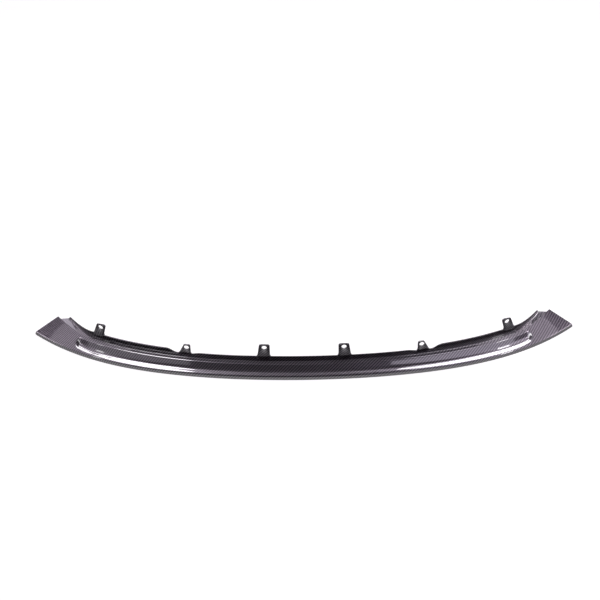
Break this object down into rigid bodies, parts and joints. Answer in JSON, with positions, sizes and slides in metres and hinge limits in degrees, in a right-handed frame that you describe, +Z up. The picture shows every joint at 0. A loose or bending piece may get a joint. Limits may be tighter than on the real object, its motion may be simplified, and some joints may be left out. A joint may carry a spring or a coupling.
{
  "type": "front splitter lip",
  "caption": "Curved carbon-fibre front lip: a blade with a long sunken channel, plain end panels, a stepped rear seat and an upright flange with drilled tabs.",
  "frame": {"origin": "on the floor under the lip, on its plane of symmetry, halfway between its foremost and rearmost points", "axes": "+X to the right as seen from in front of the car, +Y rearward, +Z up"},
  "size_m": [1.4996, 0.228, 0.0876],
  "materials": {
    "carbon_laminate": "clear-coated 2x2 twill carbon fibre"
  },
  "bodies": {
    "root": {"splitter_lip": "carbon_laminate"}
  },
  "joints": []
}
